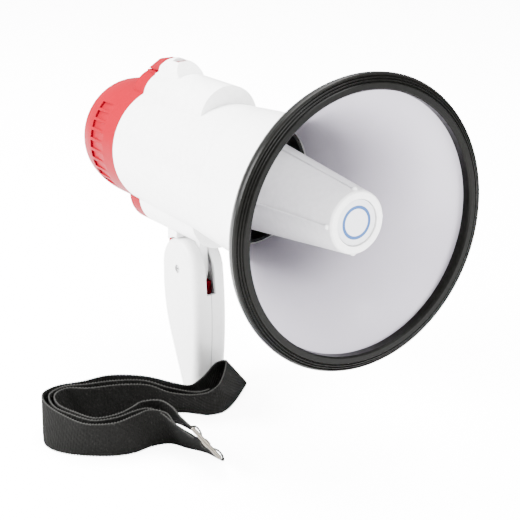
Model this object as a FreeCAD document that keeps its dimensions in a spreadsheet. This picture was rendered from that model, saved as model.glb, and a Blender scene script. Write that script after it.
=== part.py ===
import FreeCAD, Part
import Sketcher
import math
import os
from types import SimpleNamespace

# A compact handheld megaphone on a folding grip, with its carrying strap lying beside it.
# Frame: +X is the way the horn points, +Y the speaker's left, +Z up. The origin is the middle of
# the grip's heel, which stands on the floor. Lengths are in millimetres, angles in degrees.

SIZES = [
    # alias, value, meaning
    ("axis_height", 147.0, "horn axis above the heel"),
    ("mouth_front", 162.0, "front plane of the rubber rim"),
    ("rim_depth", 8.5, "rubber rim, front to back"),
    ("rim_outer", 80.0, "rubber rim, outer radius"),
    ("rim_inner", 71.0, "rubber rim, inner radius"),
    ("wall", 2.2, "wall of the moulded shells"),
    ("fit_gap", 0.1, "gap between fixed plastic parts"),
    ("move_gap", 0.35, "gap beside parts that move"),
    ("pin_gap", 0.05, "radial clearance of pins and shafts"),
    ("cover_joint", -40.0, "plane between barrel and rear cover"),
    ("barrel_rear", 37.0, "barrel radius at the rear cover"),
    ("barrel_front", 39.4, "barrel radius at the front of the bulges"),
    ("bell_joint", 66.0, "plane between barrel and bell"),
    ("bell_start", 42.2, "outer radius at the bell joint"),
    ("flare_start", 84.0, "where the bell starts to flare"),
    ("lip_plane", 154.0, "where the flare ends"),
    ("lip_radius", 77.4, "outer radius of the bell's lip"),
    ("flare_bend", 96.0, "radius of the flare's curve"),
    ("bulge_radius", 19.3, "outer radius of a battery bulge"),
    ("upper_joint_radius", 15.0, "upper bulge's outer radius at the rear cover"),
    ("swell_end", -4.0, "where the upper bulge reaches its full radius"),
    ("bulge_offset", 30.8, "bulge centre from the horn axis"),
    ("upper_bulge_front", 32.4, "front face of the upper bulge"),
    ("lower_bulge_front", 22.0, "front face of the lower bulge"),
    ("tongue_length", 12.0, "rear cover's tongue over a bulge"),
    ("cover_end", -91.0, "flat rear face of the rear cover"),
    ("cover_face", 24.0, "radius of the flat rear face"),
    ("slot_pitch", 10.0, "angle between grip slots"),
    ("slot_count", 9.0, "grip slots on each side"),
    ("slot_width", 4.6, "grip slot, across"),
    ("slot_length", 19.0, "grip slot, along the cover"),
    ("slot_depth", 1.7, "grip slot, deepest point"),
    ("hump_half", 8.6, "half width of the latch housing"),
    ("hump_rise", 57.0, "top of the latch housing above the horn axis"),
    ("lever_half", 3.9, "half width of the latch lever"),
    ("latch_pin_x", -24.0, "latch pin, along the horn"),
    ("latch_pin_rise", 51.4, "latch pin above the horn axis"),
    ("latch_pin_radius", 1.0, "latch pin radius"),
    ("cone_front", 155.0, "front ring of the reflector cone"),
    ("cone_tip", 17.2, "cone radius at the front ring"),
    ("cone_rear", 56.0, "open rear end of the cone"),
    ("cone_base", 27.5, "cone radius at its rear end"),
    ("badge_radius", 12.6, "badge disc"),
    ("tube_radius", 10.5, "throat tube, outside"),
    ("tube_front", 130.0, "open front end of the throat tube"),
    ("plate_front", 46.0, "front face of the throat plate"),
    ("plate_thick", 4.0, "throat plate thickness"),
    ("plate_skirt", 57.4, "front edge of the throat plate's skirt"),
    ("fold_x", -9.3, "fold pivot, along the horn"),
    ("fold_height", 76.8, "fold pivot above the heel"),
    ("fold_radius", 19.5, "rounded top of the grip about the pivot"),
    ("tongue_radius", 12.5, "neck tongue about the pivot"),
    ("tongue_thick", 5.6, "neck tongue thickness"),
    ("fork_gap", 6.4, "slot between the grip's cheeks"),
    ("screw_radius", 1.5, "pivot screw shank"),
    ("grip_width", 23.0, "grip, side to side"),
    ("heel_half", 7.5, "half depth of the heel"),
    ("rear_lean", 24.0, "lean of the grip's lower back"),
    ("lean_height", 30.0, "height where the grip's back starts to straighten"),
    ("front_turn", 7.0, "angle above the pivot where the grip's front begins"),
    ("front_bend", 258.0, "radius of the grip's bowed front"),
    ("grip_round", 4.5, "rounding of the grip's edges"),
    ("trigger_half", 6.0, "half width of the talk trigger"),
    ("trigger_rear", -27.6, "rear face of the talk trigger"),
    ("trigger_top", 96.2, "top of the talk trigger"),
    ("trigger_pin_x", -20.6, "trigger pin, along the horn"),
    ("trigger_pin_z", 51.0, "trigger pin above the heel"),
    ("cell_radius", 7.2, "AA cell radius"),
    ("cell_length", 49.2, "AA cell body length"),
    ("cell_offset", 24.0, "cells above and below the horn axis"),
    ("cell_rear", -48.6, "rear end of the cells"),
    ("knob_radius", 5.8, "volume knob radius"),
    ("control_offset", 15.5, "controls from the rear face's centre"),
    ("button_radius", 3.4, "record and siren buttons"),
    ("strap_width", 25.0, "strap webbing width"),
    ("strap_bundle", 4.6, "thickness of the folded strap bundle"),
    ("slider_wire", 2.4, "strap slider wire diameter"),
    ("slider_length", 28.4, "strap slider, across the webbing between its end bars' middles"),
    ("slider_depth", 20.8, "strap slider, along the webbing between its outer bars' middles"),
    ("slider_turn", -31.8, "way of the slider's bars, seen from above"),
    ("slider_slope", 25.5, "rise of the slider's bars from level"),
    ("slider_roll", 42.2, "roll of the slider about its bars"),
]

doc = FreeCAD.newDocument("megaphone")
sheet = doc.addObject("Spreadsheet::Sheet", "Sizes")


class Size:
    """A length or angle that carries both its value and the sheet formula that gives it."""

    def __init__(self, value, formula=None):
        self.value = float(value)
        self.formula = formula if formula else f"({value:.6g})"

    def __add__(self, other):
        other = as_size(other)
        return Size(self.value + other.value, f"({self.formula} + {other.formula})")

    def __sub__(self, other):
        other = as_size(other)
        return Size(self.value - other.value, f"({self.formula} - {other.formula})")

    def __mul__(self, other):
        other = as_size(other)
        return Size(self.value * other.value, f"({self.formula} * {other.formula})")

    def __truediv__(self, other):
        other = as_size(other)
        return Size(self.value / other.value, f"({self.formula} / {other.formula})")

    def __radd__(self, other):
        return as_size(other) + self

    def __rsub__(self, other):
        return as_size(other) - self

    def __rmul__(self, other):
        return as_size(other) * self

    def __neg__(self):
        return Size(-self.value, f"(0 - {self.formula})")


def as_size(value):
    return value if isinstance(value, Size) else Size(value)


def fill_sheet():
    """Write the driving sizes to the sheet and return them under their aliases."""
    named = {}
    for row, (alias, value, meaning) in enumerate(SIZES, start=1):
        sheet.set(f"A{row}", meaning)
        sheet.set(f"B{row}", str(value))
        sheet.setAlias(f"B{row}", alias)
        named[alias] = Size(value, f"Sizes.{alias}")
    return SimpleNamespace(**named)


s = fill_sheet()
doc.recompute()

# ---------------------------------------------------------------- general helpers

ALONG = {
    "x": FreeCAD.Rotation(FreeCAD.Vector(0, 1, 0), 90),
    "y": FreeCAD.Rotation(FreeCAD.Vector(1, 0, 0), -90),
    "z": FreeCAD.Rotation(),
}


def bind(thing, prop, value):
    thing.setExpression(prop, as_size(value).formula)


def place(thing, base, rotation=None):
    """Put a thing at a base point whose coordinates are sizes."""
    if rotation is not None:
        thing.Placement = FreeCAD.Placement(FreeCAD.Vector(), rotation)
    for letter, value in zip("xyz", base):
        bind(thing, f"Placement.Base.{letter}", value)
    return thing


def block(name, low, high):
    """A box between two corners."""
    box = doc.addObject("Part::Box", name)
    for prop, start, end in zip(("Length", "Width", "Height"), low, high):
        bind(box, prop, as_size(end) - start)
    return place(box, low)


def rod(name, axis, start, radius, length):
    """A round bar that runs from its start point along +x, +y or +z."""
    bar = doc.addObject("Part::Cylinder", name)
    bind(bar, "Radius", radius)
    bind(bar, "Height", length)
    return place(bar, start, ALONG[axis])


def join(name, *things):
    union = doc.addObject("Part::MultiFuse", name)
    union.Shapes = list(things)
    return union


def cut(name, base, *tools):
    """Remove the tools from the base."""
    result = doc.addObject("Part::Cut", name)
    result.Base = base
    result.Tool = tools[0] if len(tools) == 1 else join(name + "_tools", *tools)
    return result


def overlap(name, first, second):
    shared = doc.addObject("Part::Common", name)
    shared.Base = first
    shared.Tool = second
    return shared


def arc_through(start, end, bend):
    """An arc from start to end; a positive bend radius bulges to the left of the way."""
    chord = end - start
    half = chord.Length / 2
    radius = max(abs(bend), half * 1.0001)
    rise = radius - math.sqrt(radius * radius - half * half)
    left = FreeCAD.Vector(-chord.y, chord.x, 0).normalize()
    return Part.Arc(start, (start + end) * 0.5 + left * math.copysign(rise, bend), end)


def outline(body, plane, corners):
    """A closed sketch. Each corner is (x, y) or (x, y, bend of the edge that leaves it)."""
    sketch = body.newObject("Sketcher::SketchObject", body.Name + "_outline")
    base_plane = [item for item in body.Origin.OriginFeatures if item.Role == plane][0]
    sketch.AttachmentSupport = (base_plane, "")
    sketch.MapMode = "FlatFace"
    corners = [tuple(as_size(value) for value in corner) for corner in corners]
    points = [FreeCAD.Vector(corner[0].value, corner[1].value, 0) for corner in corners]
    count = len(corners)
    first_ends = []
    for index, corner in enumerate(corners):
        start = points[index]
        end = points[(index + 1) % count]
        if len(corner) == 3:
            edge = sketch.addGeometry(arc_through(start, end, corner[2].value))
        else:
            edge = sketch.addGeometry(Part.LineSegment(start, end))
        starts_first = (sketch.getPoint(edge, 1) - start).Length < 1e-4
        first_ends.append((edge, 1 if starts_first else 2, 2 if starts_first else 1))
    for index, (edge, start_end, far_end) in enumerate(first_ends):
        after = first_ends[(index + 1) % count]
        sketch.addConstraint(Sketcher.Constraint("Coincident", edge, far_end, after[0], after[1]))
        for kind, axis, value in (("DistanceX", -2, corners[index][0]), ("DistanceY", -1, corners[index][1])):
            if abs(value.value) < 1e-9:
                sketch.addConstraint(Sketcher.Constraint("PointOnObject", edge, start_end, axis))
            else:
                number = sketch.addConstraint(Sketcher.Constraint(kind, -1, 1, edge, start_end, value.value))
                sketch.setExpression(f"Constraints[{number}]", value.formula)
        if len(corners[index]) == 3:
            bend = corners[index][2]
            number = sketch.addConstraint(Sketcher.Constraint("Radius", edge, abs(bend.value)))
            sketch.setExpression(f"Constraints[{number}]", (bend if bend.value > 0 else -bend).formula)
    return sketch


def turned(name, corners, height=None):
    """A solid of revolution about the horn's way; corners are (x, radius)."""
    body = doc.addObject("PartDesign::Body", name)
    sketch = outline(body, "XZ_Plane", corners)
    turning = body.newObject("PartDesign::Revolution", name + "_turned")
    turning.Profile = sketch
    turning.ReferenceAxis = (sketch, ["H_Axis"])
    turning.Angle = 360
    return place(body, (0, 0, s.axis_height if height is None else height))


def slab(name, corners, width, middle=0):
    """A plate with its outline in the XZ plane and its width centred on y = middle."""
    body = doc.addObject("PartDesign::Body", name)
    sketch = outline(body, "XZ_Plane", corners)
    pad = body.newObject("PartDesign::Pad", name + "_pad")
    pad.Profile = sketch
    pad.SideType = "Symmetric"
    bind(pad, "Length", width)
    return place(body, (0, middle, 0))


def helix(name, start, axis, radius, wire, pitch, turns):
    """A coil spring's wire, wound about an axis from its start point."""
    path = Part.makeHelix(pitch.value, pitch.value * turns, radius.value)
    ring_middle = FreeCAD.Vector(radius.value, 0, 0)
    ring = Part.Wire(Part.makeCircle(wire.value / 2, ring_middle, FreeCAD.Vector(0, 1, 0)))
    spring = doc.addObject("Part::Feature", name)
    spring.Shape = Part.Wire(path.Edges).makePipeShell([ring], True, True)
    base = FreeCAD.Vector(*[as_size(value).value for value in start])
    spring.Placement = FreeCAD.Placement(base, ALONG[axis])
    return spring


# ---------------------------------------------------------------- horn

H = s.axis_height


def horn_bell():
    """Flared bell with a spigot that plugs into the barrel."""
    spigot = s.bell_start - s.wall - s.fit_gap
    return turned("horn_bell", [
        (s.bell_joint, s.bell_start),
        (s.flare_start, s.bell_start + 0.8, -s.flare_bend),
        (s.lip_plane, s.lip_radius),
        (s.lip_plane + 1.2, s.lip_radius - s.wall * 0.8, s.flare_bend + s.wall),
        (s.flare_start, s.bell_start + 0.8 - s.wall),
        (s.bell_joint - 8, spigot - s.wall),
        (s.bell_joint - 8, spigot),
        (s.bell_joint, spigot),
    ])


def rim_trim():
    """Rubber trim pressed over the lip: a flat land in front, ridges on its sloping outside."""
    back = s.mouth_front - s.rim_depth
    skirt = s.lip_radius + 0.3
    crest = s.rim_outer
    front = s.mouth_front
    ridges = []
    for index in range(3):
        reach = front - 1.5 + index * 0.5
        radius = crest - 1.4 - index * 1.35
        ridges += [(reach - 0.2, radius + 0.35), (reach, radius), (reach - 0.7, radius - 0.45)]
    return turned("rim_trim", [
        (back, skirt),
        (back, skirt + 0.9),
        (back + 2.5, crest - 0.4),
        (back + 5.0, crest),
        (back + 6.1, crest - 0.4),
        *ridges,
        (front, s.rim_inner + 3.6),
        (front, s.rim_inner + 0.8),
        (front - 1.0, s.rim_inner),
        (s.lip_plane + 2.2, s.rim_inner),
        (s.lip_plane + 1.4, s.rim_inner + 1.4),
        (s.lip_plane + 1.4, skirt),
    ])


def cross_fins(name, corners):
    """Two crossed plates through the horn axis; corners run front to back on the upper side."""
    mirrored = [(x, -as_size(rise)) for x, rise in reversed(corners)]
    upright = slab(name + "_upright", corners + mirrored, 1.6)
    level = slab(name + "_level", corners + mirrored, 1.6)
    place(upright, (0, 0, H))
    place(level, (0, 0, H), FreeCAD.Rotation(FreeCAD.Vector(1, 0, 0), 90))
    return join(name, upright, level)


def reflector_cone():
    """Cone that turns the sound back: closed in front, open behind, four ribs ending in knobs."""
    skin = s.wall - 0.2
    solid = turned("cone_solid", [
        (s.cone_rear, 0),
        (s.cone_rear, s.cone_base),
        (s.cone_front - 1, s.cone_tip),
        (s.cone_front, s.cone_tip - 0.8),
        (s.cone_front, 0),
    ])
    ribs = cross_fins("cone_ribs", [
        (s.cone_rear + 2, s.cone_base + 0.9),
        (s.cone_front - 3, s.cone_tip + 1.0),
    ])
    knobs = []
    for index in range(4):
        angle = math.radians(90 * index)
        knob = doc.addObject("Part::Sphere", f"cone_knob_{index}")
        knob.Radius = 1.7
        place(knob, (s.cone_front - 3.4, s.cone_tip * math.cos(angle), H + s.cone_tip * math.sin(angle)))
        knobs.append(knob)
    hollow = turned("cone_hollow", [
        (s.cone_rear - 1, 0),
        (s.cone_rear - 1, s.cone_base - skin),
        (s.cone_front - 5, s.cone_tip - skin),
        (s.cone_front - 5, 0),
    ])
    recess = rod("badge_recess", "x", (s.cone_front - 2.2, 0, H), s.badge_radius + 0.2, 5)
    return cut("reflector_cone", join("cone_raw", solid, ribs, *knobs), hollow, recess)


def badge():
    """Plain round badge with a rounded edge, bonded in the cone's recess."""
    back = s.cone_front - 2.1
    return turned("badge", [
        (back, 0),
        (back, s.badge_radius),
        (back + 0.9, s.badge_radius),
        (back + 1.3, s.badge_radius - 0.4),
        (back + 1.3, 0),
    ])


def throat_tube():
    """Tube that leads the driver's sound forward; its four fins carry the reflector cone."""
    flange_back = s.plate_front + 0.05
    pipe = turned("tube_pipe", [
        (flange_back, 0),
        (flange_back, 15),
        (flange_back + 2.2, 15),
        (flange_back + 2.2, s.tube_radius + 1),
        (flange_back + 5, s.tube_radius),
        (s.tube_front, s.tube_radius - 1),
        (s.tube_front, 0),
    ])
    slope = (s.cone_base - s.cone_tip) / (s.cone_front - s.cone_rear)
    front = s.cone_rear + 44
    rear = s.cone_rear + 10
    inner_base = s.cone_base - s.wall
    fins = cross_fins("tube_fins", [
        (rear, inner_base - slope * (rear - s.cone_rear) - 0.15),
        (front, inner_base - slope * (front - s.cone_rear) - 0.15),
    ])
    bore = turned("tube_bore", [
        (flange_back - 1, 0),
        (flange_back - 1, s.tube_radius - 2),
        (s.tube_front + 1, s.tube_radius - 2.6),
        (s.tube_front + 1, 0),
    ])
    return cut("throat_tube", join("tube_raw", pipe, fins), bore)


def ring_of_rods(name, start_x, length, radius, ring, count=4, first=45):
    """Identical bars along the horn axis, evenly spaced on a ring."""
    bars = []
    for index in range(count):
        angle = math.radians(first + 360 * index / count)
        place_y = as_size(ring) * math.cos(angle)
        place_z = H + as_size(ring) * math.sin(angle)
        bars.append(rod(f"{name}_{index}", "x", (start_x, place_y, place_z), radius, length))
    return bars


def throat_plate():
    """Black plate that closes the front of the barrel round the throat tube, with a skirt in front."""
    back = s.plate_front - s.plate_thick
    disc = turned("plate_disc", [
        (back, s.tube_radius - 2),
        (back, 36.6),
        (s.plate_front, 37.0),
        (s.plate_skirt, 37.0),
        (s.plate_skirt, 35.4),
        (s.plate_front, 35.4),
        (s.plate_front, s.tube_radius - 2),
    ])
    return cut("throat_plate", disc, *ring_of_rods("plate_hole", back - 1, 7, 1.3, 29))


def driver_frame():
    """Pressed-steel basket with a flange that is screwed to the throat plate."""
    front = s.plate_front - s.plate_thick - 0.05
    basket = turned("frame_basket", [
        (front, 19),
        (front, 33),
        (front - 1.6, 33),
        (front - 1.6, 24),
        (front - 10, 22),
        (front - 12, 22),
        (front - 12, 12),
        (front - 11, 12),
        (front - 11, 20.5),
        (front - 3, 22),
        (front - 1.6, 19),
    ])
    return cut("driver_frame", basket, *ring_of_rods("frame_hole", front - 3, 5, 1.3, 29))


def driver_magnet():
    """Ring magnet with its pole plates."""
    front = s.plate_front - s.plate_thick - 12.1
    return turned("driver_magnet", [
        (front, 6),
        (front, 20),
        (front - 2, 20),
        (front - 2, 22),
        (front - 10, 22),
        (front - 10, 20),
        (front - 12, 20),
        (front - 12, 0),
        (front - 9, 0),
        (front - 9, 6),
    ])


def driver_diaphragm():
    """Domed diaphragm with its voice coil former."""
    front = s.plate_front - s.plate_thick - 1.0
    return turned("driver_diaphragm", [
        (front, 0),
        (front, 4.0),
        (front - 2.6, 15.0),
        (front - 2.2, 18.6),
        (front - 2.8, 18.6),
        (front - 3.2, 15.0),
        (front - 6.6, 9.4),
        (front - 6.6, 8.8),
        (front - 2.0, 8.8),
        (front - 0.6, 4.0),
        (front - 0.6, 0),
    ])


def driver_screws():
    """Four screws that hold the driver to the throat plate."""
    back = s.plate_front - s.plate_thick - 1.7
    heads = ring_of_rods("driver_head", back - 1.6, 1.6, 2.4, 29)
    shanks = ring_of_rods("driver_shank", back, 5.4, 1.15, 29)
    pairs = [join(f"driver_screw_{index}", *pair) for index, pair in enumerate(zip(heads, shanks))]
    return group("driver_screws", pairs)


def group(name, things):
    """Identical separate solids that share one node."""
    held = doc.addObject("Part::Compound", name)
    held.Links = things
    return held


# ---------------------------------------------------------------- barrel

def bulge(name, start_x, end_x, radius, side):
    """A round bar along a battery bulge; side is +1 above and -1 below the horn axis."""
    return rod(name, "x", (start_x, 0, H + s.bulge_offset * side), radius, as_size(end_x) - start_x)


def swelling(name, start_x, end_x, start_radius, end_radius):
    """The rear run of the upper battery bulge, which widens along the horn."""
    cone = doc.addObject("Part::Cone", name)
    bind(cone, "Radius1", start_radius)
    bind(cone, "Radius2", end_radius)
    bind(cone, "Height", as_size(end_x) - start_x)
    return place(cone, (start_x, 0, H + s.bulge_offset), ALONG["x"])


def latch_housing():
    """Hump over the cover's latch: a stepped side view with a rounded ridge."""
    top = H + s.hump_rise
    side = slab("housing_side", [
        (-36, H + 42),
        (-36, H + 46.2),
        (-31.6, H + 48.2),
        (-31, H + 51.6),
        (-27.6, top - 1.4),
        (-25.5, top),
        (-19.5, top, 9),
        (-15.5, top - 0.6),
        (-9.5, H + 50, -9),
        (-6.5, H + 47),
        (-6.5, H + 42),
    ], s.hump_half * 2)
    ridge = rod("housing_ridge", "x", (-40, 0, top - s.hump_half), s.hump_half, 40)
    foot = block("housing_foot", (-40, -s.hump_half, H + 40), (0, s.hump_half, top - s.hump_half))
    return overlap("latch_housing", side, join("housing_section", ridge, foot))


def latch_rooms():
    """Room for the latch lever in its housing: open behind and in front, roofed in the middle."""
    half = s.lever_half + s.move_gap
    top = H + s.hump_rise + 5
    pin_half = s.hump_half - 0.95
    return [
        block("rear_well", (-41, -half, H + 46.2), (-28.6, half, top)),
        block("lever_tunnel", (-29, -half, H + 48.7), (-22, half, H + 54.5)),
        block("front_well", (-22.4, -half, H + 48.7), (-15.4, half, top)),
        rod("latch_bore", "y", (s.latch_pin_x, -pin_half, H + s.latch_pin_rise), s.latch_pin_radius,
            pin_half * 2),
    ]


def barrel_shell():
    """Barrel with two battery bulges, the latch housing on top and the neck of the grip below."""
    wall = s.wall
    outer = turned("barrel_outer", [
        (s.cover_joint, 0),
        (s.cover_joint, s.barrel_rear),
        (s.upper_bulge_front, s.barrel_front),
        (s.bell_joint, s.bell_start),
        (s.bell_joint, 0),
    ])
    rear_radius = s.upper_joint_radius
    full_radius = s.bulge_radius
    swell = swelling("bulge_swell", s.cover_joint, s.swell_end, rear_radius, full_radius)
    upper = bulge("bulge_upper", s.swell_end, s.upper_bulge_front, full_radius, 1)
    lower = bulge("bulge_lower", s.cover_joint, s.lower_bulge_front, full_radius, -1)

    neck = block("neck_block", (s.fold_x - 10.4, -s.grip_width / 2, s.fold_height + 12),
                 (s.fold_x, s.grip_width / 2, s.fold_height + 34))
    saddle = rod("neck_saddle", "y", (s.fold_x, -20, s.fold_height), s.fold_radius + s.move_gap, 40)
    neck_cut = cut("neck", neck, saddle)
    disc = rod("tongue_disc", "y", (s.fold_x, -s.tongue_thick / 2, s.fold_height), s.tongue_radius,
               s.tongue_thick)
    web = block("tongue_web", (s.fold_x - s.tongue_radius, -s.tongue_thick / 2, s.fold_height),
                (s.fold_x + s.tongue_radius, s.tongue_thick / 2, s.fold_height + 34))

    raw = join("barrel_raw", outer, swell, upper, lower, latch_housing(), neck_cut, disc, web)
    seat = s.bell_start - wall
    bore = turned("barrel_bore", [
        (s.cover_joint - 1, 0),
        (s.cover_joint - 1, s.barrel_rear - wall),
        (s.upper_bulge_front, s.barrel_front - wall),
        (s.bell_joint - 8.5, s.barrel_front - wall + 0.4),
        (s.bell_joint - 8.5, seat),
        (s.bell_joint + 1, seat),
        (s.bell_joint + 1, 0),
    ])
    swell_room = swelling("swell_room", s.cover_joint, s.swell_end, rear_radius - wall, full_radius - wall)
    upper_room = bulge("upper_room", s.swell_end, s.upper_bulge_front - wall, full_radius - wall, 1)
    lower_room = bulge("lower_room", s.cover_joint - 1, s.lower_bulge_front - wall, full_radius - wall, -1)
    pivot_bore = rod("pivot_bore", "y", (s.fold_x, -6, s.fold_height), s.screw_radius + s.pin_gap, 12)
    return cut("barrel_shell", raw, bore, swell_room, upper_room, lower_room, pivot_bore, *latch_rooms())


def rear_cover():
    """Domed battery cover with a tongue over each bulge, finger grips and holes for the controls."""
    face = s.cover_end
    joint = s.cover_joint
    outer = turned("cover_outer", [
        (joint, 0),
        (joint, s.barrel_rear),
        (joint - 22, s.barrel_rear, -75),
        (joint - 40, s.barrel_rear - 2.2, -14.5),
        (face, s.cover_face),
        (face, 0),
    ])
    tongue_rear = joint - s.tongue_length
    sides = ((1, s.upper_joint_radius), (-1, s.bulge_radius))
    tongues = [bulge(f"cover_tongue_{side}", tongue_rear, joint, radius, side) for side, radius in sides]
    spigot = rod("cover_spigot", "x", (joint - 2, 0, H), s.barrel_rear - s.wall - 0.2, 8)
    catch = slab("cover_catch", [
        (tongue_rear + 0.6, H + 42.5),
        (tongue_rear + 1.4, H + 46.2),
        (joint, H + 46.2),
        (joint, H + 42.5),
    ], s.lever_half * 2 + 3)
    raw = join("cover_raw", outer, spigot, catch, *tongues)
    hollow = turned("cover_hollow", [
        (face + s.wall, 0),
        (face + s.wall, s.cover_face - 1.6, 12.5),
        (joint - 39, s.barrel_rear - 5.4),
        (joint - 22, s.barrel_rear - 4.4),
        (joint + 7, s.barrel_rear - 4.4),
        (joint + 7, 0),
    ])
    rooms = [bulge(f"tongue_room_{side}", tongue_rear + s.wall, joint + 7, radius - s.wall, side)
             for side, radius in sides]
    notch = block("catch_notch", (joint - 8, -s.lever_half - s.move_gap, H + 42.8),
                  (joint - 3.2, s.lever_half + s.move_gap, H + 50))
    tools = [hollow, notch] + rooms + grip_slots() + control_holes()
    return join("rear_cover", cut("cover_open", raw, *tools), *contact_walls())


def contact_walls():
    """Two inner walls of the cover that carry the battery contacts."""
    walls = []
    rear = s.cover_joint - s.tongue_length
    for side in (1, -1):
        near = H + (s.cell_offset - 5) * side
        far = H + (s.barrel_rear - 3.4) * side
        low, high = (near, far) if side > 0 else (far, near)
        walls.append(block(f"contact_wall_{side}", (rear, -11, low), (rear + s.wall, 11, high)))
    return walls


def grip_slots():
    """Ramped finger slots round both sides of the cover, deepest at their rear ends."""
    slots = []
    count = int(s.slot_count.value)
    for side in (90, 270):
        for index in range(count):
            angle = side + (index - (count - 1) / 2) * s.slot_pitch.value
            ramp = slab(f"grip_slot_{side}_{index}", [
                (s.cover_joint - 10, s.barrel_rear + 0.3),
                (s.cover_joint - 10 - s.slot_length, s.barrel_rear - s.slot_depth),
                (s.cover_joint - 10 - s.slot_length, s.barrel_rear + 3),
                (s.cover_joint - 10, s.barrel_rear + 3),
            ], s.slot_width)
            turn = FreeCAD.Rotation(FreeCAD.Vector(1, 0, 0), angle)
            slots.append(place(ramp, (0, 0, H), turn))
    return slots


def control_holes():
    """Openings in the rear face for the microphone, knob, mode switch and two buttons."""
    start = s.cover_end - 1
    through = s.wall + 2
    off = s.control_offset
    return [
        rod("mic_hole", "x", (start, 0, H), 9.0, through),
        rod("knob_hole", "x", (start, 0, H + off), 3.2, through),
        rod("record_hole", "x", (start, off, H), s.button_radius + 0.3, through),
        rod("siren_hole", "x", (start, -off, H), s.button_radius + 0.3, through),
        block("mode_hole", (start, -5.2, H - off - 1.7), (start + through, 5.2, H - off + 1.7)),
    ]


# ---------------------------------------------------------------- rear controls

def mic_grille():
    """Round microphone grille with a ring of sound holes and an inner flange."""
    face = s.cover_end
    plate = turned("grille_plate", [
        (face - 0.8, 0),
        (face - 0.8, 8.0),
        (face - 0.2, 8.7),
        (face + s.wall + 0.1, 8.7),
        (face + s.wall + 0.1, 10.6),
        (face + s.wall + 1.0, 10.6),
        (face + s.wall + 1.0, 7.6),
        (face + 0.8, 7.6),
        (face + 0.8, 0),
    ])
    holes = [rod("grille_hole_middle", "x", (face - 2, 0, H), 0.7, 4)]
    for ring, count in ((2.6, 6), (5.2, 12)):
        holes += ring_of_rods(f"grille_hole_{count}", face - 2, 4, 0.7, ring, count, 0)
    return cut("mic_grille", plate, *holes)


def mic_capsule():
    """Electret microphone capsule behind the grille."""
    return rod("mic_capsule", "x", (s.cover_end + 2.6, 0, H), 4.85, 5.2)


def mic_boot():
    """Rubber ring that holds the capsule off the cover."""
    start = s.cover_end + 2.4
    return cut("mic_boot", rod("boot_ring", "x", (start, 0, H), 7.3, 5.6),
               rod("boot_bore", "x", (start - 1, 0, H), 4.95, 8))


def volume_knob():
    """Fluted knob with its shaft, turned by a fingertip."""
    face = s.cover_end
    centre = H + s.control_offset
    cap = turned("knob_cap", [
        (face - 5.6, 0),
        (face - 5.6, s.knob_radius - 0.7),
        (face - 4.9, s.knob_radius),
        (face - 0.5, s.knob_radius),
        (face - 0.5, 3.0),
        (face + 4.2, 3.0),
        (face + 4.2, 0),
    ], centre)
    flutes = []
    for index in range(12):
        angle = math.radians(30 * index + 15)
        ring = s.knob_radius * 1.06
        base = (face - 6, ring * math.cos(angle), centre + ring * math.sin(angle))
        flutes.append(rod(f"knob_flute_{index}", "x", base, 0.75, 4.4))
    pointer = block("knob_pointer", (face - 6, -0.4, centre + 1.6), (face - 5.2, 0.4, centre + 5.4))
    return cut("volume_knob", cap, pointer, *flutes)


def volume_pot():
    """Potentiometer body on the control board."""
    start = s.cover_end + 4.5
    centre = H + s.control_offset
    return block("volume_pot", (start, -5.5, centre - 5.0), (start + 4.4, 5.5, centre + 5.0))


def mode_slider():
    """Small sliding cap for talk or siren, with the stem that reaches its switch."""
    face = s.cover_end
    centre = H - s.control_offset
    cap = block("mode_cap", (face - 2.4, -2.2, centre - 2.6), (face - 0.35, 2.2, centre + 2.6))
    grip = block("mode_grip", (face - 3.0, -0.5, centre - 2.6), (face - 2.4, 0.5, centre + 2.6))
    stem = block("mode_stem", (face - 0.35, -1.4, centre - 1.3), (face + 4.2, 1.4, centre + 1.3))
    return join("mode_slider", cap, grip, stem)


def mode_switch():
    """Body of the slide switch on the control board."""
    start = s.cover_end + 4.5
    centre = H - s.control_offset
    return block("mode_switch", (start, -6.5, centre - 3.2), (start + 4.4, 6.5, centre + 3.2))


def push_button(name, side):
    """Domed push button with a flange that keeps it inside the cover."""
    face = s.cover_end
    dome = turned(name, [
        (face - 2.2, 0, 8),
        (face - 1.6, s.button_radius - 0.5),
        (face - 1.1, s.button_radius),
        (face + s.wall + 0.3, s.button_radius),
        (face + s.wall + 0.3, s.button_radius + 1.0),
        (face + s.wall + 1.1, s.button_radius + 1.0),
        (face + s.wall + 1.1, 0),
    ])
    return place(dome, (0, s.control_offset * side, H))


def button_switches():
    """Two tact switches behind the push buttons."""
    start = s.cover_end + s.wall + 2.7
    bodies = []
    for side in (1, -1):
        middle = s.control_offset * side
        body = block(f"tact_body_{side}", (start + 0.8, middle - 3, H - 3),
                     (s.cover_end + 8.9, middle + 3, H + 3))
        plunger = rod(f"tact_plunger_{side}", "x", (start, middle, H), 1.6, 0.8)
        bodies.append(join(f"tact_{side}", body, plunger))
    return group("button_switches", bodies)


def control_board():
    """Round board that carries the rear controls."""
    return rod("control_board", "x", (s.cover_end + 8.95, 0, H), 25.0, 1.6)


# ---------------------------------------------------------------- power and amplifier

def cells(name, side):
    """Two AA cells, side by side, with the nub at the rear."""
    pair = []
    for place_y in (-7.25, 7.25):
        centre = H + s.cell_offset * side
        can = rod(f"{name}_can_{place_y}", "x", (s.cell_rear, place_y, centre), s.cell_radius, s.cell_length)
        nub = rod(f"{name}_nub_{place_y}", "x", (s.cell_rear - 0.9, place_y, centre), 2.6, 1.2)
        pair.append(join(f"{name}_{place_y}", can, nub))
    return group(name, pair)


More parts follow.
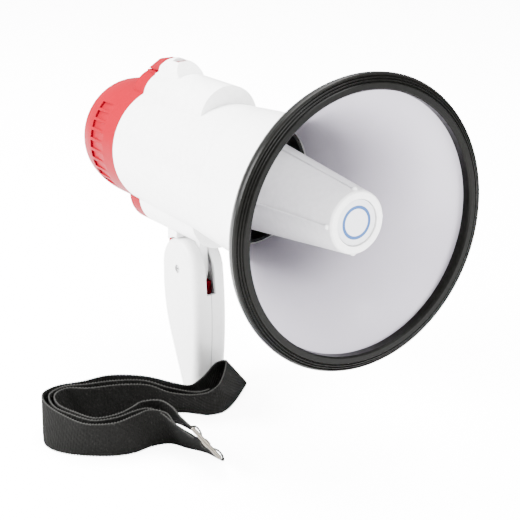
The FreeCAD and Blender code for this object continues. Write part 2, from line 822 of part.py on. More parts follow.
def battery_tray(name, side):
    """Tray under two cells, with an end wall for their springs."""
    centre = H + s.cell_offset * side
    floor_near = centre - (s.cell_radius + 0.2) * side
    floor_far = floor_near - 1.2 * side
    low, high = (floor_far, floor_near) if side > 0 else (floor_near, floor_far)
    floor = block(name + "_floor", (-38, -14.6, low), (13.6, 14.6, high))
    end = s.cell_rear + s.cell_length + 10.4
    wall_low, wall_high = (high, centre + 5) if side > 0 else (centre - 5, low)
    stop = block(name + "_stop", (end, -14.6, wall_low), (end + 1.6, 14.6, wall_high))
    return join(name, floor, stop)


def battery_springs():
    """Four coil springs that press the cells against the rear contacts."""
    springs = []
    start = s.cell_rear + s.cell_length + 0.6
    for side in (1, -1):
        for place_y in (-7.25, 7.25):
            base = (start, place_y, H + s.cell_offset * side)
            name = f"cell_spring_{side}_{place_y}"
            springs.append(helix(name, base, "x", Size(3.2), Size(0.8), Size(1.75), 5))
    return group("battery_springs", springs)


def battery_contacts():
    """Two sprung plates inside the rear cover that bridge the cells in pairs."""
    plates = []
    start = s.cover_joint - s.tongue_length + s.wall + 0.05
    for side in (1, -1):
        centre = H + s.cell_offset * side
        plates.append(block(f"contact_{side}", (start, -11, centre - 4), (start + 0.25, 11, centre + 4)))
    return group("battery_contacts", plates)


def circuit_board():
    """Amplifier board, level on the horn axis."""
    return block("circuit_board", (-32, -22, H - 0.8), (8, 22, H + 0.8))


def amplifier_chip():
    """Power amplifier with its finned heat sink."""
    body = block("chip_body", (-12, -14, H + 0.85), (4, -8, H + 6))
    fins = [block(f"chip_fin_{index}", (-12, -14 + 2.2 * index, H + 6), (4, -13.2 + 2.2 * index, H + 15))
            for index in range(3)]
    return join("amplifier_chip", body, *fins)


def board_capacitors():
    """Three electrolytic capacitors standing on the amplifier board."""
    cans = []
    for place_x, place_y, radius, tall in ((-26, 10, 5.0, 14), (-14, 13, 4.0, 11), (-4, 14, 4.0, 11)):
        cans.append(rod(f"capacitor_{len(cans)}", "z", (place_x, place_y, H + 0.85), radius, tall))
    return group("board_capacitors", cans)


# ---------------------------------------------------------------- cover latch

def cover_latch():
    """Rocking lever on top: pressing its front end lifts the rear wedge's hook out of the cover."""
    lever = slab("latch_lever", [
        (-51.6, H + 46.7),
        (-38.5, H + 54.3),
        (-36.0, H + 55.2),
        (-31.0, H + 55.2, 2.4),
        (-29.4, H + 54.0),
        (-30.4, H + 53.2),
        (-22.0, H + 53.2),
        (-21.6, H + 55.2),
        (-18.4, H + 55.0),
        (-16.4, H + 53.4),
        (-16.6, H + 51.0),
        (-20.0, H + 49.7),
        (-32.6, H + 49.7),
        (-34.0, H + 46.7),
        (-43.9, H + 46.7),
        (-43.9, H + 44.2),
        (-45.2, H + 44.0),
        (-46.6, H + 45.4),
        (-46.6, H + 46.7),
    ], s.lever_half * 2)
    bore = rod("lever_bore", "y", (s.latch_pin_x, -8, H + s.latch_pin_rise),
               s.latch_pin_radius + s.pin_gap, 16)
    room = rod("lever_spring_room", "y", (s.latch_pin_x, -1.6, H + s.latch_pin_rise), 2.3, 3.2)
    return cut("cover_latch", lever, bore, room)


def latch_pin():
    """Steel pin through the latch housing."""
    return rod("latch_pin", "y", (s.latch_pin_x, -s.hump_half + 1, H + s.latch_pin_rise),
               s.latch_pin_radius, s.hump_half * 2 - 2)


def latch_spring():
    """Torsion spring round the latch pin."""
    start = (s.latch_pin_x, -1.25, H + s.latch_pin_rise)
    return helix("latch_spring", start, "y", Size(1.65), Size(0.5), Size(0.62), 4)


# ---------------------------------------------------------------- folding grip

GRIP_SCREWS = ((-3, 14), (1, 46))


def grip_corners(inset):
    """Side view of the grip, from the heel up the rear, over the rounded top and down the front."""
    inset = as_size(inset)
    top = s.fold_height
    radius = s.fold_radius - inset
    rear = s.fold_x - radius
    lean = math.radians(s.rear_lean.value)
    heel_rear = inset - s.heel_half
    bend_start = heel_rear - (s.lean_height - inset) * math.tan(lean)
    rear_bend = (bend_start - rear) / (1 - math.cos(lean))
    turn = math.radians(s.front_turn.value)
    return [
        (heel_rear, inset),
        (bend_start, s.lean_height, rear_bend),
        (rear, s.lean_height + rear_bend * math.sin(lean)),
        (rear, top, radius),
        (s.fold_x, top + radius, radius),
        (s.fold_x + radius * math.cos(turn), top + radius * math.sin(turn), s.front_bend),
        (s.heel_half - inset, inset),
    ]


def grip_body():
    """The whole grip as one hollow body, before it is split down the middle."""
    outer = slab("grip_outer", grip_corners(0), s.grip_width)
    rounded = round_long_edges(outer)
    hollow = slab("grip_hollow", grip_corners(s.wall), s.grip_width - s.wall * 2)
    shell = cut("grip_shell", rounded, hollow)
    top = s.fold_height
    half_slot = s.fork_gap / 2
    boss_start = 1 - s.grip_width / 2
    boss_length = s.grip_width - 2
    bosses = [rod(f"screw_boss_{place_z}", "y", (place_x, boss_start, place_z), 3, boss_length)
              for place_x, place_z in GRIP_SCREWS]
    bosses += [
        rod("pivot_boss", "y", (s.fold_x, boss_start, top), 6, boss_length),
        rod("pin_boss_left", "y", (s.trigger_pin_x, s.trigger_half + 0.4, s.trigger_pin_z), 2.6, 3.6),
        rod("pin_boss_right", "y", (s.trigger_pin_x, -s.trigger_half - 4.0, s.trigger_pin_z), 2.6, 3.6),
    ]
    front_slot = block("front_slot", (s.fold_x - 9, -half_slot, top - s.tongue_radius - 0.6),
                       (20, half_slot, top + 30))
    top_slot = block("top_slot", (-40, -half_slot, top - s.tongue_radius - 0.6),
                     (s.fold_x, half_slot, top + 30))
    trigger_slot = block("trigger_slot", (-40, -s.trigger_half - s.move_gap, s.trigger_pin_z - 4),
                         (s.trigger_rear + 6.4, s.trigger_half + s.move_gap, top + 30))
    pivot_hole = rod("pivot_hole", "y", (s.fold_x, -20, top), s.screw_radius + s.pin_gap, 40)
    head_well = rod("head_well", "y", (s.fold_x, -s.grip_width / 2 - 1, top), 2.6, 3.2)
    nut_well = rod("nut_well", "y", (s.fold_x, s.grip_width / 2 - 2.2, top), 3.0, 4)
    screw_holes = []
    for place_x, place_z in GRIP_SCREWS:
        screw_holes.append(rod(f"grip_hole_{place_z}", "y", (place_x, -9, place_z), 1.25, 30))
        screw_holes.append(rod(f"grip_well_{place_z}", "y", (place_x, s.grip_width / 2 - 3, place_z), 2.4, 6))
    pin_hole = rod("trigger_pin_hole", "y", (s.trigger_pin_x, -10.1, s.trigger_pin_z), 1.02, 20.2)
    raw = join("grip_raw", shell, *bosses)
    return cut("grip_whole", raw, front_slot, top_slot, trigger_slot, pivot_hole, head_well, nut_well,
               pin_hole, *screw_holes)


def round_long_edges(body):
    """Round the outline's edges on both sides of a slab, all but those at the floor."""
    doc.recompute()
    side = s.grip_width.value / 2
    names = []
    for number, edge in enumerate(body.Shape.Edges, start=1):
        box = edge.BoundBox
        on_side = abs(abs(box.Center.y) - side) < 1e-3 and box.YLength < 1e-3
        if on_side and box.ZMax > 0.01:
            names.append(number)
    fillet = doc.addObject("Part::Fillet", body.Name + "_rounded")
    fillet.Base = body
    radius = s.grip_round.value
    fillet.Edges = [(number, radius, radius) for number in names]
    return fillet


def grip_half(name, whole, side):
    """One half of the grip; side is +1 for the left half."""
    low, high = (0, 20) if side > 0 else (-20, 0)
    return overlap(name, whole, block(name + "_side", (-60, low, -5), (40, high, 120)))


def handle_screws():
    """Two screws that hold the grip's halves together."""
    screws = []
    for place_x, place_z in GRIP_SCREWS:
        head = rod(f"handle_head_{place_z}", "y", (place_x, s.grip_width / 2 - 2.9, place_z), 2.2, 1.6)
        shank = rod(f"handle_shank_{place_z}", "y", (place_x, -8, place_z), 1.2, s.grip_width / 2 + 5.2)
        screws.append(join(f"handle_screw_{place_z}", head, shank))
    return group("handle_screws", screws)


def pivot_screw():
    """Screw that the grip folds about, its head sunk in the near cheek."""
    head = rod("pivot_head", "y", (s.fold_x, -s.grip_width / 2 + 0.7, s.fold_height), 2.4, 1.5)
    shank = rod("pivot_shank", "y", (s.fold_x, -s.grip_width / 2 + 1, s.fold_height), s.screw_radius,
                s.grip_width - 2.4)
    slot = block("pivot_slot", (s.fold_x - 2, -s.grip_width / 2, s.fold_height - 0.3),
                 (s.fold_x + 2, -s.grip_width / 2 + 1.3, s.fold_height + 0.3))
    return cut("pivot_screw", join("pivot_raw", head, shank), slot)


def pivot_nut():
    """Nut on the pivot screw's far end."""
    nut = doc.addObject("Part::Prism", "nut_hex")
    nut.Polygon = 6
    nut.Circumradius = 2.8
    nut.Height = 1.6
    place(nut, (s.fold_x, s.grip_width / 2 - 2.15, s.fold_height), ALONG["y"])
    bore = rod("nut_bore", "y", (s.fold_x, s.grip_width / 2 - 4, s.fold_height), s.screw_radius + 0.02, 6)
    return cut("pivot_nut", nut, bore)


def talk_trigger():
    """Thumb trigger in the back of the grip, hinged at its foot, with a wing each side."""
    rear = s.trigger_rear
    inner = rear + 2.4
    foot = s.trigger_pin_z
    plate = slab("trigger_plate", [
        (rear + 2.0, foot - 3.2),
        (rear + 0.6, foot + 2.0),
        (rear, foot + 9),
        (rear, s.trigger_top - 1.2, 1.8),
        (rear + 1.2, s.trigger_top),
        (inner, s.trigger_top),
        (inner, foot + 12),
        (s.trigger_pin_x + 2.6, foot + 2.4),
        (s.trigger_pin_x + 2.4, foot - 2.2),
        (s.trigger_pin_x, foot - 3.2),
    ], s.trigger_half * 2)
    wings = []
    for side in (1, -1):
        near = s.fork_gap / 2 + 0.4
        low, high = (near, s.trigger_half) if side > 0 else (-s.trigger_half, -near)
        wings.append(block(f"trigger_wing_{side}", (inner - 0.5, low, foot + 6), (1.5, high, foot + 18)))
    bore = rod("trigger_bore", "y", (s.trigger_pin_x, -10, foot), 1.0 + s.pin_gap, 20)
    room = block("trigger_spring_room", (rear + 2.5, -2.4, foot - 4), (s.trigger_pin_x + 6, 2.4, foot + 3.4))
    return cut("talk_trigger", join("trigger_raw", plate, *wings), bore, room)


def trigger_pin():
    """Steel pin at the trigger's foot."""
    return rod("trigger_pin", "y", (s.trigger_pin_x, -10, s.trigger_pin_z), 1.0, 20)


def trigger_spring():
    """Torsion spring round the trigger's pin."""
    start = (s.trigger_pin_x, -1.6, s.trigger_pin_z)
    return helix("trigger_spring", start, "y", Size(1.5), Size(0.5), Size(0.62), 5)


def trigger_switch():
    """Micro switch under the trigger's wings."""
    body = block("switch_body", (-13, -5.6, 47), (-2.4, 5.6, 54.4))
    plunger = rod("switch_plunger", "z", (-8, 4.6, 54.4), 0.8, 1.0)
    return join("trigger_switch", body, plunger)


# ---------------------------------------------------------------- carrying strap

SLIDER_MIDDLE = (97.9, -58.5, 14.35)
STRAP_ROUTE = [
    # plan of the folded strap's middle line: slider, near strand, left fold, far strand, right loop
    (76.5, -57), (67, -60), (61, -67), (59, -86), (48, -105), (28, -114), (10, -110), (4, -95),
    (9, -76), (20, -59), (35, -44), (40, -27), (49, -19), (57, -28), (55, -42),
]


def strap_webbing():
    """The folded webbing standing on its edge: one closed wall along the bundle of layers."""
    half = s.strap_bundle.value / 2
    middle = [FreeCAD.Vector(x, y, 0) for x, y in STRAP_ROUTE]
    left = offset_points(middle, half)
    right = offset_points(middle, -half)
    edges = smooth_edges(left) + [Part.LineSegment(left[-1], right[-1]).toShape()]
    edges += smooth_edges(right[::-1]) + [Part.LineSegment(right[0], left[0]).toShape()]
    webbing = doc.addObject("Part::Feature", "strap_webbing")
    webbing.Shape = Part.Face(Part.Wire(edges)).extrude(FreeCAD.Vector(0, 0, s.strap_width.value))
    return webbing


def offset_points(points, side):
    """The points moved sideways by the given distance, square to the route."""
    moved = []
    for index, point in enumerate(points):
        before = points[max(index - 1, 0)]
        after = points[min(index + 1, len(points) - 1)]
        way = (after - before).normalize()
        moved.append(point + FreeCAD.Vector(-way.y, way.x, 0) * side)
    return moved


def smooth_edges(points):
    """Straight runs joined by arcs that take up most of the shorter run at each corner."""
    edges = []
    start = points[0]
    for before, corner, after in zip(points, points[1:], points[2:]):
        back_way = (before - corner).normalize()
        on_way = (after - corner).normalize()
        run = 0.45 * min((corner - before).Length, (after - corner).Length)
        radius = run / math.tan(back_way.getAngle(-on_way) / 2)
        enter = corner + back_way * run
        leave = corner + on_way * run
        crown = corner + (back_way + on_way).normalize() * (math.hypot(run, radius) - radius)
        edges.append(Part.LineSegment(start, enter).toShape())
        edges.append(Part.Arc(enter, crown, leave).toShape())
        start = leave
    edges.append(Part.LineSegment(start, points[-1]).toShape())
    return edges


def strap_slider():
    """Wire slider at the near strand's end: a frame with a middle bar, one corner on the floor."""
    half_long = s.slider_length / 2
    half_deep = s.slider_depth / 2
    radius = s.slider_wire / 2
    bars = []
    for offset in (-half_deep, as_size(0), half_deep):
        bars.append(rod("slider_bar", "z", (offset, 0, -half_long), radius, s.slider_length))
    for end in (-half_long, half_long):
        bars.append(rod("slider_end", "x", (-half_deep, 0, end), radius, s.slider_depth))
        bars.append(rod("slider_eye", "x", (-radius - 0.8, 0, end), radius + 0.5, s.slider_wire + 1.6))
        for offset in (-half_deep, half_deep):
            corner = doc.addObject("Part::Sphere", "slider_corner")
            bind(corner, "Radius", radius)
            bars.append(place(corner, (offset, 0, end)))
    up = FreeCAD.Vector(0, 0, 1)
    tip = FreeCAD.Rotation(FreeCAD.Vector(0, 1, 0), 90 - s.slider_slope.value)
    tilt = FreeCAD.Rotation(up, s.slider_turn.value) * tip * FreeCAD.Rotation(up, s.slider_roll.value)
    return place(join("strap_slider", *bars), SLIDER_MIDDLE, tilt)


# ---------------------------------------------------------------- assembly and export

def build_all():
    """Make every sub-part; a sub-part's Label is the name of its node."""
    whole_grip = grip_body()
    return [
        horn_bell(), rim_trim(), reflector_cone(), badge(), throat_tube(), throat_plate(),
        driver_frame(), driver_magnet(), driver_diaphragm(), driver_screws(),
        barrel_shell(), rear_cover(),
        mic_grille(), mic_capsule(), mic_boot(), volume_knob(), volume_pot(), mode_slider(), mode_switch(),
        push_button("record_button", 1), push_button("siren_button", -1), button_switches(), control_board(),
        cells("batteries_upper", 1), cells("batteries_lower", -1),
        battery_tray("battery_tray_upper", 1), battery_tray("battery_tray_lower", -1),
        battery_springs(), battery_contacts(), circuit_board(), amplifier_chip(), board_capacitors(),
        cover_latch(), latch_pin(), latch_spring(),
        grip_half("handle_left_shell", whole_grip, 1), grip_half("handle_right_shell", whole_grip, -1),
        handle_screws(), pivot_screw(), pivot_nut(),
        talk_trigger(), trigger_pin(), trigger_spring(), trigger_switch(),
        strap_webbing(), strap_slider(),
    ]


def check(parts):
    """Stop if anything failed to build."""
    failed = [item.Name for item in doc.Objects if {"Invalid", "Error"} & set(item.State)]
    if failed:
        raise RuntimeError("failed objects: " + ", ".join(failed))
    for part in parts:
        shape = part.Shape
        if shape.isNull() or not shape.isValid() or not shape.Solids:
            raise RuntimeError("bad shape: " + part.Label)


def export(parts):
    os.makedirs("parts", exist_ok=True)
    for part in parts:
        part.Shape.exportStep(f"parts/{part.Label}.step")
        box = part.Shape.optimalBoundingBox(True, False)
        spans = " ".join(f"{low:7.1f}..{high:6.1f}" for low, high in
                         ((box.XMin, box.XMax), (box.YMin, box.YMax), (box.ZMin, box.ZMax)))
        print(f"{part.Label:22s} {len(part.Shape.Solids):2d} {part.Shape.Volume:10.1f}  {spans}")


sub_parts = build_all()
doc.recompute()
check(sub_parts)
export(sub_parts)
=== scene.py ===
"""A handheld megaphone standing on its folding grip, with its webbing strap beside it."""
import math

import bpy
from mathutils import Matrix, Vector


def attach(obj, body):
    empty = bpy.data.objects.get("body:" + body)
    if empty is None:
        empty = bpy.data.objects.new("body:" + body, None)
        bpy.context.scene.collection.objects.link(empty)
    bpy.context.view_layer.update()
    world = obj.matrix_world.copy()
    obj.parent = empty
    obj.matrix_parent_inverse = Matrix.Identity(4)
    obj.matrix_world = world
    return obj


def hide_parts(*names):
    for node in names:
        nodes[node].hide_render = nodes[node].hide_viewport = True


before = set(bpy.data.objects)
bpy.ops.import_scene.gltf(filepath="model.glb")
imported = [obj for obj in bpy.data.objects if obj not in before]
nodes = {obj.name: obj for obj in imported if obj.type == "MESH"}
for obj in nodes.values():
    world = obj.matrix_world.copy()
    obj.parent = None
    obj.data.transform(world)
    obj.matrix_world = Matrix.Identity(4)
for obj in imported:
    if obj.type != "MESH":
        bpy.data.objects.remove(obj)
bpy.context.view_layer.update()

MM = 0.001

# ---------------------------------------------------------------- camera, floor and light

CAMERA_PLACE = Vector((0.7645, -0.4712, 0.3882))
CAMERA_AIM = Vector((0.1362, -0.0483, 0.1306))
CAMERA_LENS = 107.5


def make_camera():
    data = bpy.data.cameras.new("camera")
    data.lens = CAMERA_LENS
    data.sensor_width = 36
    data.clip_start = 0.05
    data.clip_end = 20
    camera = bpy.data.objects.new("camera", data)
    camera.location = CAMERA_PLACE
    camera.rotation_euler = (CAMERA_AIM - CAMERA_PLACE).to_track_quat("-Z", "Y").to_euler()
    bpy.context.collection.objects.link(camera)
    bpy.context.scene.camera = camera


def add_light(name, place, aim, width, height, power):
    """A soft rectangular studio light."""
    data = bpy.data.lights.new(name, "AREA")
    data.shape = "RECTANGLE"
    data.size = width
    data.size_y = height
    data.energy = power
    light = bpy.data.objects.new(name, data)
    light.location = place
    light.rotation_euler = (Vector(aim) - Vector(place)).to_track_quat("-Z", "Y").to_euler()
    bpy.context.collection.objects.link(light)


def make_studio():
    """A pale floor that runs out of view, an even surround and three soft lights."""
    bpy.ops.mesh.primitive_plane_add(size=12, location=(0, 0, 0))
    floor = bpy.context.object
    floor.name = "floor"
    floor.data.materials.append(floor_material())
    world = bpy.data.worlds.new("surround")
    world.use_nodes = True
    world.node_tree.nodes["Background"].inputs["Color"].default_value = (1, 1, 1, 1)
    world.node_tree.nodes["Background"].inputs["Strength"].default_value = 1.4
    bpy.context.scene.world = world
    middle = (0.06, 0, 0.12)
    add_light("key", (-0.6, -1.45, 0.95), middle, 1.2, 1.0, 230)
    add_light("top", (-0.2, 0.1, 1.8), middle, 1.5, 1.5, 165)
    add_light("front", (1.7, -0.1, 0.9), middle, 0.8, 0.8, 70)


# ---------------------------------------------------------------- materials

# The lights are strong, so these colours are darker than the real plastics are.
WHITE = (0.72, 0.72, 0.72)
# The grip is the same white plastic as the barrel; its darker tone is painted shade.
GRIP_PAINTED_SHADE_WHITE = (0.6, 0.6, 0.6)
# The bell's inside is the same white plastic as its outside; this greyer, darker tone is painted shade.
BELL_INSIDE_PAINTED_SHADE = (0.4, 0.38, 0.43)
RED = (0.16, 0.0, 0.006)
BADGE_PALE = (0.55, 0.56, 0.58)
RING_BLUE = (0.01, 0.06, 0.2)
SEAM_GREY = (0.16, 0.16, 0.16)
WEBBING_BLACK = (0.0062, 0.0062, 0.0058)
# The lighter tone along the strap's edges is a painted highlight.
EDGE_SHEEN_BLACK = (0.02, 0.02, 0.019)

# Lengths in metres.
HORN_AXIS = (0, 0, 0.147)
RING_RADIUS = 0.0083
RING_HALF_WIDTH = 0.0008
SOFT_EDGE = 0.0006
SMALL_SOFT_EDGE = 0.0003

MOTTLE_SCALE = 300
FLOOR_GLOW = 8.0


class Shader:
    """A node tree with one Principled shader, and short calls to add to it."""

    def __init__(self, name, roughness, specular=0.5, metallic=0.0):
        self.material = bpy.data.materials.new(name)
        self.material.use_nodes = True
        self.tree = self.material.node_tree
        self.surface = self.tree.nodes["Principled BSDF"]
        self.surface.inputs["Roughness"].default_value = roughness
        self.surface.inputs["Specular IOR Level"].default_value = specular
        self.surface.inputs["Metallic"].default_value = metallic
        self.place = self.add("ShaderNodeNewGeometry").outputs["Position"]

    def add(self, kind, settings=None, **inputs):
        """Add a node. A key such as i0 names an input by its number."""
        node = self.tree.nodes.new(kind)
        for key, value in (settings or {}).items():
            setattr(node, key, value)
        for key, value in inputs.items():
            self.feed(node.inputs[int(key[1:])], value)
        return node

    def feed(self, socket, value):
        """Set a socket, or link another node's output to it."""
        if isinstance(value, bpy.types.NodeSocket):
            self.tree.links.new(value, socket)
        elif isinstance(value, bpy.types.Node):
            self.tree.links.new(value.outputs[0], socket)
        else:
            socket.default_value = value

    def set(self, name, value):
        self.feed(self.surface.inputs[name], value)

    def maths(self, operation, a, b):
        return self.add("ShaderNodeMath", {"operation": operation}, i0=a, i1=b)

    def noise(self, scale, detail=3.0):
        node = self.add("ShaderNodeTexNoise")
        self.feed(node.inputs["Scale"], scale)
        self.feed(node.inputs["Detail"], detail)
        self.feed(node.inputs["Vector"], self.place)
        return node.outputs["Fac"]

    def ramp(self, value, low, high, first, last):
        """Map value from low..high to first..last, clamped."""
        node = self.add("ShaderNodeMapRange", {"clamp": True})
        for socket, given in zip(node.inputs, (value, low, high, first, last)):
            self.feed(socket, given)
        return node

    def mix(self, factor, first, second):
        """Blend two colours, each a tuple or an output."""
        node = self.add("ShaderNodeMix", {"data_type": "RGBA"})
        self.feed(node.inputs["Factor"], factor)
        for name, colour in (("A", first), ("B", second)):
            socket = [s for s in node.inputs if s.name == name and s.type == "RGBA"][0]
            self.feed(socket, (*colour, 1) if isinstance(colour, tuple) else colour)
        return [s for s in node.outputs if s.type == "RGBA"][0]

    def grain(self, colour, scale, amount):
        """The colour, a little darker or lighter from place to place."""
        darker = tuple(c * (1 - amount) for c in colour)
        return self.mix(self.ramp(self.noise(scale), 0.3, 0.7, 0.0, 1.0), darker, colour)

    def from_axis(self):
        """The vector from the horn's axis straight out to the surface."""
        offset = self.add("ShaderNodeVectorMath", {"operation": "SUBTRACT"}, i0=self.place, i1=HORN_AXIS)
        return self.add("ShaderNodeVectorMath", {"operation": "MULTIPLY"}, i0=offset, i1=(0, 1, 1))

    def distance_from(self, value, target):
        """How far the value is from the target, either way."""
        return self.maths("ABSOLUTE", self.maths("SUBTRACT", value, target), 0.0)

    def relief(self, height, depth, soften=0.0):
        """Bump the surface by height, up to depth in metres, with edges softened by that radius."""
        node = self.add("ShaderNodeBump")
        self.feed(node.inputs["Distance"], depth)
        self.feed(node.inputs["Height"], height)
        if soften:
            edge = self.add("ShaderNodeBevel", {"samples": 4})
            self.feed(edge.inputs["Radius"], soften)
            self.feed(node.inputs["Normal"], edge)
        self.set("Normal", node)


def textured(name, roughness, specular=0.5, metallic=0.0, scale=MOTTLE_SCALE, depth=2e-5, soften=0.0):
    """A shader with a very fine surface texture, and no colour yet."""
    shader = Shader(name, roughness, specular, metallic)
    shader.relief(shader.noise(scale * 5), depth, soften)
    return shader


def finish(name, colour, roughness, amount=0.08, scale=MOTTLE_SCALE, **surface):
    """A moulded, cast or painted finish: faint mottling and a very fine texture."""
    shader = textured(name, roughness, scale=scale, **surface)
    shader.set("Base Color", shader.grain(colour, scale, amount))
    return shader.material


def floor_material():
    """A white sweep. It looks brighter to the camera than the light it throws on the object."""
    shader = Shader("studio_floor", 0.8, 0.0)
    shader.set("Base Color", shader.grain((0.93, 0.93, 0.93), 3, 0.01))
    shader.set("Emission Color", (1, 1, 1, 1))
    seen = shader.add("ShaderNodeLightPath").outputs["Is Camera Ray"]
    shader.set("Emission Strength", shader.maths("MULTIPLY", seen, FLOOR_GLOW))
    return shader.material


def horn_material():
    """White plastic whose inner face, inside the bell, is painted a greyer, darker white as painted
    shade.
    """
    shader = textured("horn_white_shaded_inside", 0.3, specular=0.4, soften=SOFT_EDGE)
    facing = shader.add("ShaderNodeVectorMath", {"operation": "DOT_PRODUCT"}, i0=shader.from_axis())
    shader.feed(facing.inputs[1], shader.add("ShaderNodeNewGeometry").outputs["Normal"])
    # Painted shade: faces inside the bell, facing the horn's axis, get the darker tone.
    painted_shade_inside = shader.ramp(facing.outputs["Value"], 0.0, -0.004, 0.0, 1.0)
    white = shader.grain(WHITE, MOTTLE_SCALE, 0.05)
    shader.set("Base Color", shader.mix(painted_shade_inside, white, BELL_INSIDE_PAINTED_SHADE))
    return shader.material


def badge_material():
    """A pale disc with a plain blue ring near its edge."""
    shader = textured("badge_disc", 0.3, specular=0.3)
    radius = shader.add("ShaderNodeVectorMath", {"operation": "LENGTH"}, i0=shader.from_axis())
    from_ring = shader.distance_from(radius.outputs["Value"], RING_RADIUS)
    ring = shader.ramp(from_ring, RING_HALF_WIDTH, RING_HALF_WIDTH + 0.0002, 1.0, 0.0)
    pale = shader.grain(BADGE_PALE, MOTTLE_SCALE, 0.05)
    shader.set("Base Color", shader.mix(ring, pale, RING_BLUE))
    return shader.material


def grip_material():
    """White plastic, darker than the barrel's as painted shade, with a faint seam where the two halves
    of the grip meet.
    """
    shader = textured("grip_white_painted_shade", 0.34, specular=0.4, soften=SOFT_EDGE)
    side = shader.add("ShaderNodeSeparateXYZ", i0=shader.place).outputs["Y"]
    seam = shader.ramp(shader.distance_from(side, 0.0), 0.0001, 0.0003, 1.0, 0.0)
    # A darker white than the barrel's, as painted shade.
    white = shader.grain(GRIP_PAINTED_SHADE_WHITE, MOTTLE_SCALE, 0.05)
    shader.set("Base Color", shader.mix(seam, white, SEAM_GREY))
    return shader.material


def webbing_material():
    """Black woven webbing: a diagonal twill, fine mottling and a painted highlight, a lighter band along
    both edges where the rounded edges catch the light.
    """
    shader = Shader("black_webbing", 0.85, 0.03)
    flat = shader.add("ShaderNodeUVMap", {"uv_map": "length_and_width"})
    width = shader.add("ShaderNodeSeparateXYZ", i0=flat).outputs["Y"]
    half = WIDTH * MM / 2
    from_middle = shader.distance_from(width, half)
    # Painted highlight: the band is lighter within a little of either edge.
    edge_sheen = shader.ramp(from_middle, half - 0.0006, half - 0.0001, 0.0, 1.0)
    weave = shader.grain(WEBBING_BLACK, 1400, 0.6)
    shader.set("Base Color", shader.mix(edge_sheen, weave, EDGE_SHEEN_BLACK))
    twill = shader.add("ShaderNodeTexWave", {"bands_direction": "DIAGONAL"})
    shader.feed(twill.inputs["Scale"], 170.0)
    shader.feed(twill.inputs["Vector"], flat)
    shader.relief(twill.outputs["Fac"], 1.5e-4)
    return shader.material


def dress(material, *names):
    """Put a material in these CAD nodes' slots."""
    for name in names:
        slots = nodes[name].data.materials
        slots.clear()
        slots.append(material)


def dress_plastics():
    dress(horn_material(), "horn_bell")
    white = finish("white_plastic", WHITE, 0.3, specular=0.4, soften=SOFT_EDGE)
    dress(white, "barrel_shell", "reflector_cone")
    dress(grip_material(), "handle_left_shell", "handle_right_shell")
    dress(badge_material(), "badge")
    red = finish("red_plastic", RED, 0.4, amount=0.04, specular=0.02, depth=1e-5, soften=SOFT_EDGE)
    dress(red, "rear_cover", "cover_latch", "talk_trigger")
    black = finish("black_plastic", (0.008, 0.008, 0.008), 0.5, amount=0.3, specular=0.2,
                   soften=SMALL_SOFT_EDGE)
    dress(black, "throat_tube", "throat_plate", "mic_grille", "volume_knob", "mode_slider",
          "battery_tray_upper", "battery_tray_lower", "volume_pot", "mode_switch", "button_switches",
          "trigger_switch")
    grey = finish("grey_plastic", (0.08, 0.08, 0.085), 0.45, specular=0.3, soften=SMALL_SOFT_EDGE)
    dress(grey, "siren_button", "record_button")


def dress_rubbers():
    rim = finish("rim_rubber", (0.0035, 0.0035, 0.003), 0.3, amount=0.4, scale=500, specular=0.07,
                 soften=SMALL_SOFT_EDGE)
    dress(rim, "rim_trim")
    dress(finish("mic_rubber", (0.01, 0.01, 0.01), 0.6, amount=0.3, specular=0.2), "mic_boot")


def dress_metals():
    steel = finish("steel", (0.42, 0.42, 0.43), 0.32, scale=700, metallic=1.0)
    dress(steel, "driver_frame", "driver_screws", "latch_pin", "trigger_pin", "handle_screws",
          "pivot_screw", "pivot_nut", "battery_springs", "battery_contacts", "latch_spring",
          "trigger_spring", "mic_capsule")
    iron = finish("magnet_iron", (0.12, 0.12, 0.13), 0.5, amount=0.2, scale=900, metallic=0.8)
    dress(iron, "driver_magnet")
    nickel = finish("nickel_wire", (0.14, 0.125, 0.105), 0.3, amount=0.2, scale=900, metallic=1.0)
    dress(nickel, "strap_slider")


def dress_electrics():
    paper = finish("paper_cone", (0.03, 0.03, 0.028), 0.9, amount=0.3, scale=900, specular=0.1)
    dress(paper, "driver_diaphragm")
    board = finish("board_green", (0.01, 0.1, 0.03), 0.4, amount=0.25, scale=900, specular=0.4)
    dress(board, "circuit_board", "control_board")
    cell = finish("cell_jacket", (0.05, 0.12, 0.3), 0.3, specular=0.4)
    dress(cell, "batteries_upper", "batteries_lower")
    dress(finish("chip_black", (0.012, 0.012, 0.013), 0.6, amount=0.2, specular=0.3), "amplifier_chip")
    dress(finish("can_sleeve", (0.02, 0.02, 0.05), 0.35, specular=0.4), "board_capacitors")


# ---------------------------------------------------------------- strap

# The strap's sizes are in millimetres.
WIDTH = 25.0
STEP = 0.36
ROWS_PER_RIB = 5
RIB_SPREAD = 0.3
RIB_BULGE = 0.09
# Distance in from an edge, and half the thickness there, in millimetres.
PROFILE = [(0.0, 0.22), (0.5, 0.5), (1.6, 0.52), (4.0, 0.52), (8.3, 0.54), (12.5, 0.54)]

